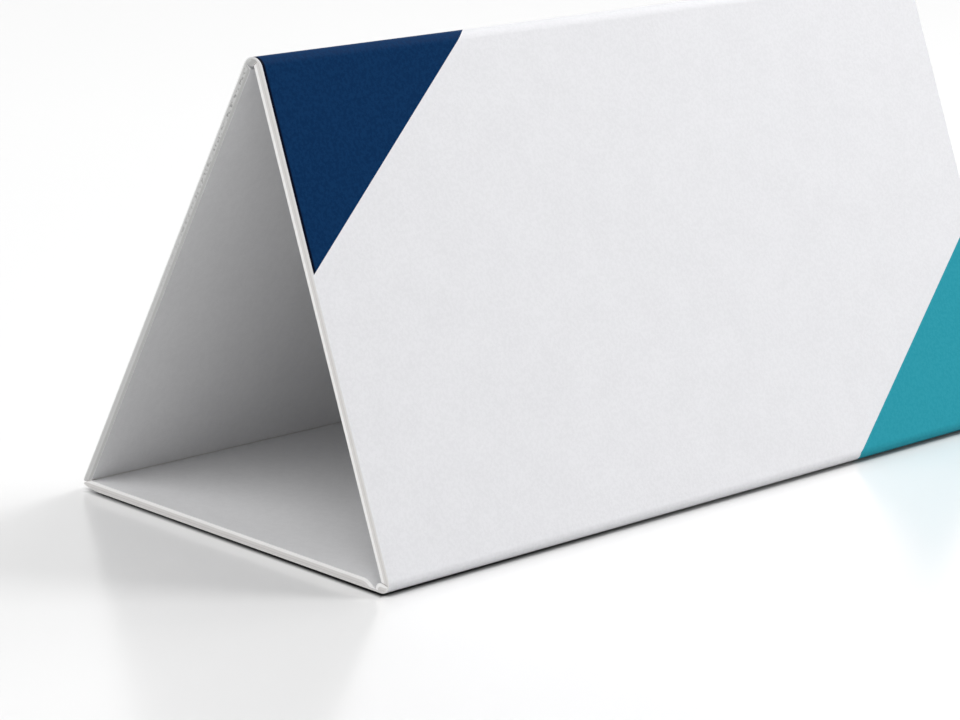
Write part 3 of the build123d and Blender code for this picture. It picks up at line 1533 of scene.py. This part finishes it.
@dataclass(frozen=True)
class Studio:
    """A white polished table in an even light, with three soft lamps, and a painted shade on the table under
    the card.

    Attributes:
        footprint: Half the card's length and half its width on the table.
        table_size: Width of the table top.
        table_drop: How far the table top lies under the card, which leaves a thin dark line there, deepened
            by the painted shade under the card.
        table_colour: Colour of the table top.
        painted_shade_colour: Colour of the painted shade on the table under the card, a soft dark field in
            the table's finish.
        painted_shade_far_colour: Colour that the painted shade pales to, away from the card's near corner.
        painted_shade_heading: Direction in which the painted shade pales, from +X towards +Y, in degrees.
        painted_shade_run: Where its paling begins and ends, measured that way from the card's middle.
        painted_shade_ends: Where the painted shade's soft edge begins and ends, measured in from the card's
            ends.
        painted_shade_sides: The same, measured in from its long sides.
        painted_bounce_shade_sides: The same along the long sides, for a wider painted shade that is only in
            the light the table throws back on the folds.
        table_roughness: How blurred the table's reflections are.
        table_gloss: Strength of its reflections.
        table_polish: Cover of the clear polish over it.
        zenith: Strength of the even light from above.
        horizon: Strength of the even light from the sides.
        backdrop: Strength of the white backdrop that is seen and mirrored.
        lamps: The lamps.
    """

    footprint: tuple[float, float]
    table_size: float = 8000.0
    table_drop: float = 0.45
    table_colour: Colour = (0.99, 0.99, 0.99, 1.0)
    painted_shade_colour: Colour = (0.04, 0.04, 0.04, 1.0)
    painted_shade_far_colour: Colour = (0.80, 0.80, 0.80, 1.0)
    painted_shade_heading: float = 41.0
    painted_shade_run: tuple[float, float] = (-105.0, 10.0)
    painted_shade_ends: tuple[float, float] = (0.3, -1.6)
    painted_shade_sides: tuple[float, float] = (2.1, 0.8)
    painted_bounce_shade_sides: tuple[float, float] = (1.5, -3.5)
    table_roughness: float = 0.2
    table_gloss: float = 0.5
    table_polish: float = 0.35
    zenith: float = 0.10
    horizon: float = 0.80
    backdrop: float = 1.0
    lamps: tuple[Lamp, ...] = (
        Lamp("left_lamp", strength=0.43, heading=-84.0, height=63.0, width=42.0),
        Lamp("right_lamp", strength=0.36, heading=67.0, height=47.0, width=18.0, distance=900.0),
        Lamp("rear_lamp", strength=0.10, heading=96.0, height=40.0, width=25.0),
    )

    def build(self) -> None:
        """Adds the table, the even light and the lamps."""
        self._table()
        self._sky()
        for lamp in self.lamps:
            lamp.build()

    def _table(self) -> bpy.types.Object:
        """Adds the table top, with a painted shade under the card in its finish.

        Returns:
            The table.
        """
        half = self.table_size / 2
        corners = [(-half, -half), (half, -half), (half, half), (-half, half)]
        mesh = bpy.data.meshes.new("table_top")
        mesh.from_pydata([Vector((x, y, -self.table_drop)) * MM for x, y in corners], [], [(0, 1, 2, 3)])
        material = bpy.data.materials.new("polished_white_table_with_painted_shade")
        sheet = NodeSheet(material)
        place = sheet.board_place()
        # painted shade on the table under the card; its soft edge along the long sides is wider for the light
        # thrown back on the folds
        past_ends = self._past(sheet, place, "X", self.footprint[0], self.painted_shade_ends)
        past_sides = self._past(sheet, place, "Y", self.footprint[1], self.painted_shade_sides)
        past_shade = self._past(sheet, place, "Y", self.footprint[1], self.painted_bounce_shade_sides)
        shown = self._shown(sheet)
        past_either = past_shade + (past_sides - past_shade) * shown
        off_painted_shade = sheet.math("MAXIMUM", past_ends, past_either)
        # the painted shade is darkest at the card's near corner and pales away from it in seen and mirrored
        # rays; in thrown-back light it stays dark
        painted_shade = sheet.blend(self._painted_shade_paling(sheet, place) * shown, self.painted_shade_colour, self.painted_shade_far_colour)
        sockets = {
            "Base Color": sheet.blend(off_painted_shade, painted_shade, self.table_colour),
            "Roughness": self.table_roughness,
            "Specular IOR Level": self.table_gloss,
            "Coat Weight": self.table_polish,
            "Coat Roughness": self.table_roughness,
        }
        sheet.surface(sockets)
        mesh.materials.append(material)
        table = bpy.data.objects.new("table_top", mesh)
        bpy.context.scene.collection.objects.link(table)
        return table

    def _painted_shade_paling(self, sheet: NodeSheet, place: Value) -> Value:
        """Works out how far the painted shade has paled.

        Args:
            sheet: The table's nodes.
            place: Where the point lies, in millimetres.

        Returns:
            0 at the card's near corner, 1 far from it.
        """
        turn = math.radians(self.painted_shade_heading)
        sides = {0: place, 1: (math.cos(turn), math.sin(turn), 0.0)}
        away = sheet.add("ShaderNodeVectorMath", {"operation": "DOT_PRODUCT"}, sides, "Value")
        return sheet.step(away, *self.painted_shade_run)

    @staticmethod
    def _past(sheet: NodeSheet, place: Value, axis: str, limit: float, fade: tuple[float, float]) -> Value:
        """How far a place lies past the painted shade's soft edge along one axis: 0 in the painted shade, 1
        off it.
        """
        start, end = [limit - inset for inset in fade]
        return sheet.step(abs(sheet.along(place, axis)), start, end)

    @staticmethod
    def _shown(sheet: NodeSheet) -> Value:
        """Works out whether a surface is seen or mirrored, and does not only throw light.

        Args:
            sheet: The nodes of the table or of the world.

        Returns:
            1 where it is seen or mirrored, 0 where it only throws light.
        """
        path = sheet.place("ShaderNodeLightPath", {}, {})
        rays = [Value(sheet, path.outputs[f"Is {kind} Ray"]) for kind in ("Camera", "Glossy", "Transmission")]
        return sheet.math("MAXIMUM", rays[0], sheet.math("MAXIMUM", rays[1], rays[2]))

    def _sky(self) -> None:
        """Sets the even light, and the white backdrop where it is seen or mirrored."""
        world = bpy.context.scene.world or bpy.data.worlds.new("even_light")
        bpy.context.scene.world = world
        sheet = NodeSheet(world)
        white = (1.0, 1.0, 1.0, 1.0)
        low, high, backdrop = [
            sheet.add("ShaderNodeBackground", {}, {"Color": white, "Strength": strength})
            for strength in (self.horizon, self.zenith, self.backdrop)
        ]
        direction = sheet.add("ShaderNodeTexCoord", {}, {}, "Generated")
        height = sheet.along(direction, "Z")
        light = sheet.add("ShaderNodeMixShader", {}, {0: height, 1: low, 2: high})
        both = sheet.add("ShaderNodeMixShader", {}, {0: self._shown(sheet), 1: light, 2: backdrop})
        sheet.place("ShaderNodeOutputWorld", {}, {"Surface": both})


@dataclass(frozen=True)
class CardFinishes:
    """The finishes of the card.

    Attributes:
        half_length: Half the card's length.
        board: Thickness of the board.
        depth_layer: Name of the mesh layer that holds the depth under the outer face.
        ink_painted_shade_width: Width of the painted shade along a printed field's trimmed edge.
        ink_painted_shade_fade: How far that painted shade fades into the field.
        ink_bare: Width of the strip outside that line where the ink broke off.
        bare_paper: Colour of that strip.
        shaded_edge_flecking: How strongly dark flecks show in the back panel's trimmed ends, which are greyer
            as painted shade.
    """

    half_length: float
    board: float
    depth_layer: str
    ink_painted_shade_width: float = 0.5
    ink_painted_shade_fade: float = 0.45
    ink_bare: float = 0.25
    bare_paper: Colour = paint(226, 226, 228)
    shaded_edge_flecking: float = 0.6

    def materials(self) -> dict[Dress, bpy.types.Material]:
        """Makes the finishes.

        Returns:
            The material of each finish.
        """
        return {
            Dress.WHITE_FACE: self._covering_sheet().material(),
            Dress.NAVY_PRINT: self._navy().material(),
            Dress.TEAL_PRINT: self._teal().material(),
            Dress.INNER_FACE: self._lining_sheet().material(),
            Dress.CUT_EDGE: self._trimmed_edge().material(),
            Dress.PAINTED_SHADE_FLECKED_EDGE: self._painted_shade_flecked_edge().material(),
        }

    @staticmethod
    def _covering_sheet() -> CoatedPaper:
        """The white sheet on the outside of the board."""
        light, shade = paint(236, 236, 239), paint(230, 230, 233)
        return CoatedPaper("white_covering_sheet", light, shade, patch=9.0, grain=PressedGrain())

    @staticmethod
    def _lining_sheet() -> CoatedPaper:
        """The smoother and greyer sheet on the inside of the board.

        Returns:
            The finish.
        """
        grain = PressedGrain(pebble=1.4, pebble_height=0.01, fibre=0.4, fibre_height=0.006)
        light, shade = paint(226, 226, 227), paint(222, 222, 223)
        return CoatedPaper("white_lining_sheet", light, shade, patch=6.0, grain=grain)

    def _navy(self) -> PrintInk:
        """The navy field at the top of the near end."""
        # colours: ink; thin ink on the tops, lightened as a painted highlight; painted shade along the
        # trimmed edge
        return self._print("navy_print", paint(6, 44, 84), paint(12, 51, 92), paint(2, 8, 26))

    def _teal(self) -> PrintInk:
        """The teal field at the bottom of the far end."""
        # colours: ink; thin ink on the tops, lightened as a painted highlight; painted shade along the
        # trimmed edge
        return self._print("teal_print", paint(44, 151, 168), paint(49, 155, 172), paint(20, 104, 120))

    def _print(self, name: str, ink: Colour, thin: Colour, edge: Colour) -> PrintInk:
        """Makes a printed field's finish.

        Args:
            name: Name of the material.
            ink: Colour of the ink.
            thin: Colour on the relief's tops, where the ink lies thin, lightened further as a painted
                highlight.
            edge: Colour of the painted shade along the trimmed edge.

        Returns:
            The finish.
        """
        return PrintInk(
            name,
            ink,
            thin,
            edge,
            painted_shade_width=self.ink_painted_shade_width,
            painted_shade_fade=self.ink_painted_shade_fade,
            bare=self.bare_paper,
            bare_width=self.ink_bare,
            half_length=self.half_length,
            grain=PressedGrain(),
        )

    def _trimmed_edge(self) -> CutBoard:
        """The trimmed ends of the front panel and the base, and what is scored or cut inside.

        Returns:
            The finish.
        """
        return CutBoard(
            "trimmed_board",
            cover=paint(232, 231, 229),
            core=paint(224, 222, 220),
            ply=paint(206, 204, 202),
            lining=paint(250, 249, 248),
            board=self.board,
            depth_layer=self.depth_layer,
        )

    def _painted_shade_flecked_edge(self) -> CutBoard:
        """The back panel's trimmed ends: greyer as painted shade, and flecked.

        Returns:
            The finish.
        """
        return CutBoard(
            "flecked_board_with_painted_shade",
            cover=paint(228, 228, 227),
            core=paint(204, 204, 203),
            ply=paint(196, 196, 195),
            lining=paint(182, 182, 181),
            board=self.board,
            depth_layer=self.depth_layer,
            flecking=self.shaded_edge_flecking,
        )


def main() -> None:
    logging.basicConfig(level=logging.INFO, format="%(name)s: %(message)s")
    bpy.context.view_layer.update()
    low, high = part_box(BOARD_NODE)
    length = (high.x - low.x) / MM
    section = BoardSection()
    navy = PrintField(Dress.NAVY_PRINT, CardEnd.NEAR, fold_slant=0.0, end_slant=47.0, fold_leg=63.1)
    teal = PrintField(Dress.TEAL_PRINT, CardEnd.FAR, fold_slant=110.0, end_slant=61.9, fold_leg=63.2)
    board = FoldedBoard(length, section, (navy, teal))
    finishes = CardFinishes(length / 2, section.board, board.depth_layer)
    piece = board.build(finishes.materials())
    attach(piece, BOARD_BODY)
    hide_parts(BOARD_NODE)
    log.info("%s: %d faces", piece.name, len(piece.data.polygons))
    Studio((length / 2, (high.y - low.y) / MM / 2)).build()
    PhotoCamera().build()
    bpy.context.scene.view_settings.view_transform = "Standard"


if __name__ == "__main__":
    main()
